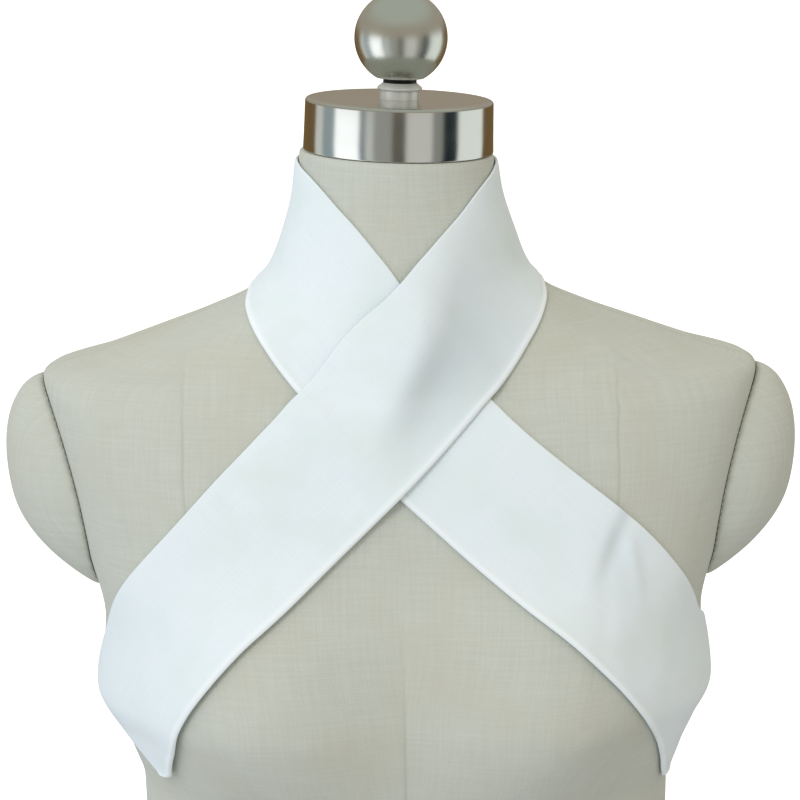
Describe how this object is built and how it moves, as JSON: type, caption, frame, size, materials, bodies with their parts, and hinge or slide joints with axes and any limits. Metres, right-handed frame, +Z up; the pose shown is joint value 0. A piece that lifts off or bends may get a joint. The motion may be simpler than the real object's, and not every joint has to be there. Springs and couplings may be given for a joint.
{
  "type": "detachable cross-over collar on a limbless dress form",
  "caption": "Straight cotton collar band that passes round the neck and crosses over the chest, laid on a limbless linen dress form with a steel neck cap and ball finial.",
  "frame": {"origin": "under the middle of the whole, on the surface that the dress form stands on", "axes": "+Z up, -Y the way the chest faces, +X the wearer's left"},
  "size_m": [0.454, 0.2504, 0.7694],
  "materials": {
    "linen": "plain woven linen cover, matt",
    "white_cotton": "plain white cotton, pressed, matt",
    "brushed_steel": "turned and brushed",
    "polished_steel": "polished, slightly hazy"
  },
  "bodies": {
    "root": {"form_body": "linen", "arm_cap_left": "linen", "arm_cap_right": "linen", "neck_cap": "brushed_steel", "finial_stem": "brushed_steel", "finial_ball": "polished_steel", "collar_under": "white_cotton", "collar_over": "white_cotton"}
  },
  "joints": []
}
